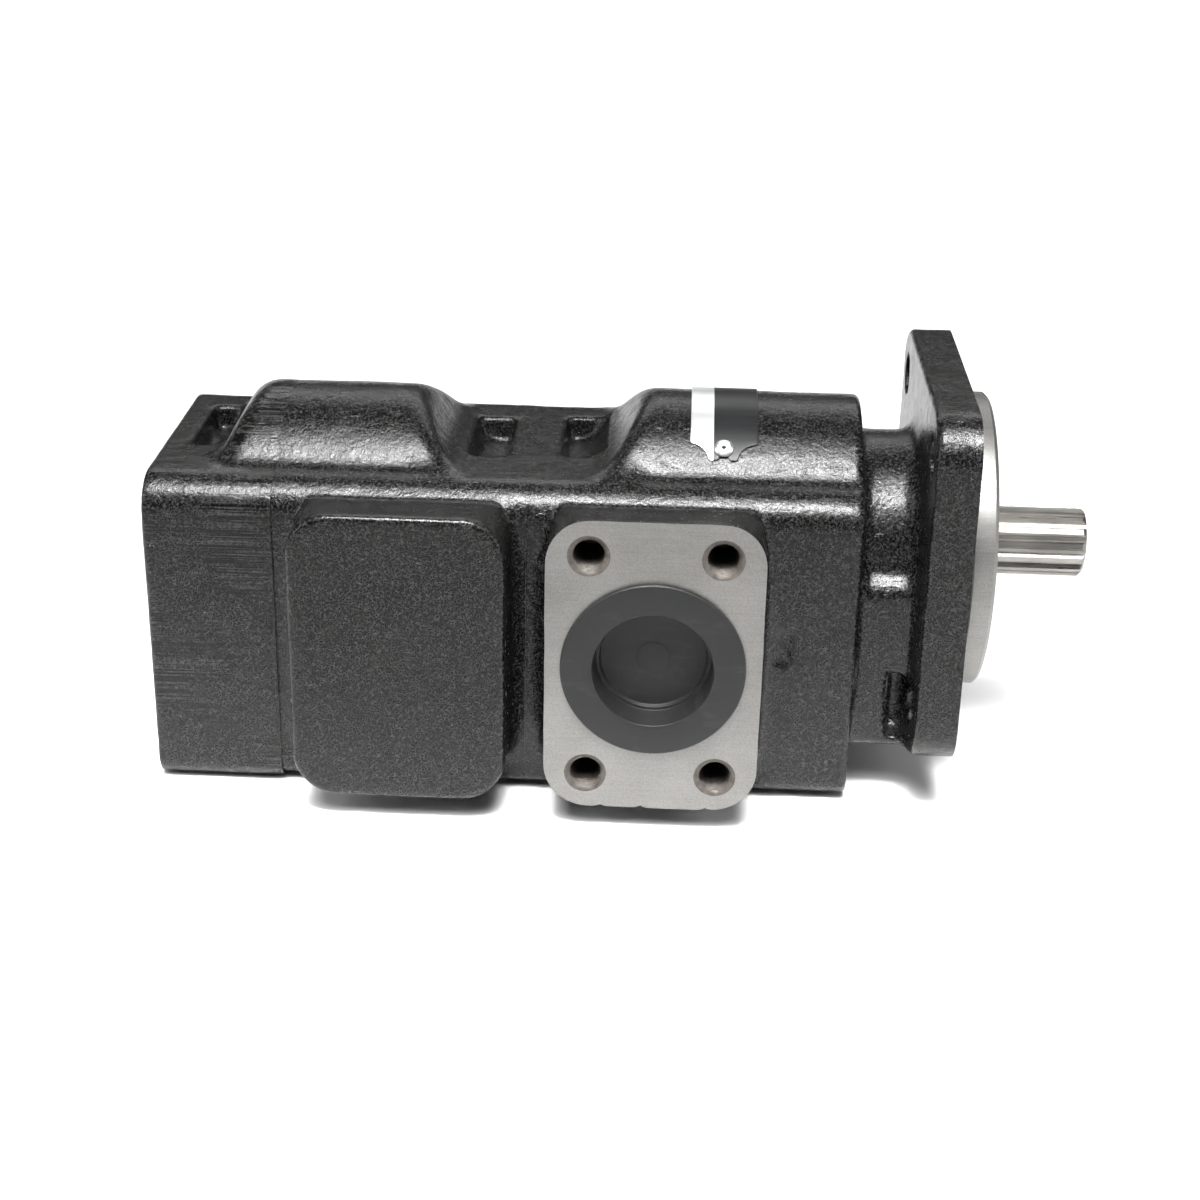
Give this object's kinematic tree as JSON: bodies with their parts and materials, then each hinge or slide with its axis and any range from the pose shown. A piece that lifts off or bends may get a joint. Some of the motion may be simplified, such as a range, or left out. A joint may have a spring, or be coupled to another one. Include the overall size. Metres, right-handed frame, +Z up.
{
  "type": "tandem gear pump",
  "caption": "Two-section external gear pump in cast iron with a square four-hole flange, round pilot, splined drive shaft and a plugged suction port.",
  "frame": {"origin": "centre of the locating pilot on the flange's mounting face, on the drive shaft axis", "axes": "+X out along the drive shaft, -Y towards the suction port, +Z up from the driven gears to the drive gears"},
  "size_m": [0.3177, 0.1358, 0.1413],
  "materials": {
    "cast_iron_black": "gloss black paint over as-cast iron",
    "gear_steel": "ground steel",
    "wear_plate_alloy": "machined alloy",
    "seal_rubber": "moulded rubber",
    "bush_bronze": "machined bronze",
    "fastener_steel": "plated steel",
    "nameplate_metal": "brushed sheet, part painted black",
    "plug_plastic": "matt moulded plastic"
  },
  "bodies": {
    "pump_body": {"front_cover": "cast_iron_black", "front_gear_housing": "cast_iron_black", "rear_gear_housing": "cast_iron_black", "rear_cover": "cast_iron_black", "front_outer_wear_plate": "wear_plate_alloy", "front_inner_wear_plate": "wear_plate_alloy", "rear_inner_wear_plate": "wear_plate_alloy", "rear_outer_wear_plate": "wear_plate_alloy", "front_outer_plate_seal": "seal_rubber", "front_inner_plate_seal": "seal_rubber", "rear_inner_plate_seal": "seal_rubber", "rear_outer_plate_seal": "seal_rubber", "front_cover_bushes": "bush_bronze", "front_housing_bushes": "bush_bronze", "rear_housing_bushes": "bush_bronze", "rear_cover_bushes": "bush_bronze", "front_joint_seal": "seal_rubber", "mid_joint_seal": "seal_rubber", "rear_joint_seal": "seal_rubber", "inner_shaft_seal": "seal_rubber", "outer_shaft_seal": "seal_rubber", "seal_retaining_ring": "fastener_steel", "dowel_pins": "fastener_steel", "clamp_bolts": "fastener_steel", "bolt_washers": "fastener_steel", "nameplate": "nameplate_metal", "nameplate_screws": "fastener_steel"},
    "drive_train": {"drive_gear_shaft": "gear_steel", "shaft_coupling": "gear_steel", "rear_drive_gear": "gear_steel"},
    "front_driven": {"front_driven_gear": "gear_steel"},
    "rear_driven": {"rear_driven_gear": "gear_steel"},
    "suction_plug": {"suction_port_plug": "plug_plastic"},
    "front_outlet_cap": {"front_outlet_plug": "plug_plastic"},
    "rear_outlet_cap": {"rear_outlet_plug": "plug_plastic"}
  },
  "joints": [
    {"name": "drive_spin", "type": "hinge", "parent": "pump_body", "child": "drive_train", "pos_m": [0, 0, 0], "axis": [1, 0, 0], "continuous": true},
    {"name": "front_driven_spin", "type": "hinge", "parent": "pump_body", "child": "front_driven", "pos_m": [-0.0806, 0, -0.042], "axis": [1, 0, 0], "continuous": true},
    {"name": "rear_driven_spin", "type": "hinge", "parent": "pump_body", "child": "rear_driven", "pos_m": [-0.2066, 0, -0.042], "axis": [1, 0, 0], "continuous": true},
    {"name": "suction_plug_pull", "type": "slide", "parent": "pump_body", "child": "suction_plug", "axis": [0, -1, 0], "range_m": [0, 0.03]},
    {"name": "front_outlet_plug_pull", "type": "slide", "parent": "pump_body", "child": "front_outlet_cap", "axis": [0, 1, 0], "range_m": [0, 0.025]},
    {"name": "rear_outlet_plug_pull", "type": "slide", "parent": "pump_body", "child": "rear_outlet_cap", "axis": [0, 1, 0], "range_m": [0, 0.025]}
  ],
  "couplings": [
    {"joint": "front_driven_spin", "follows": "drive_spin", "ratio": -1},
    {"joint": "rear_driven_spin", "follows": "drive_spin", "ratio": -1}
  ]
}
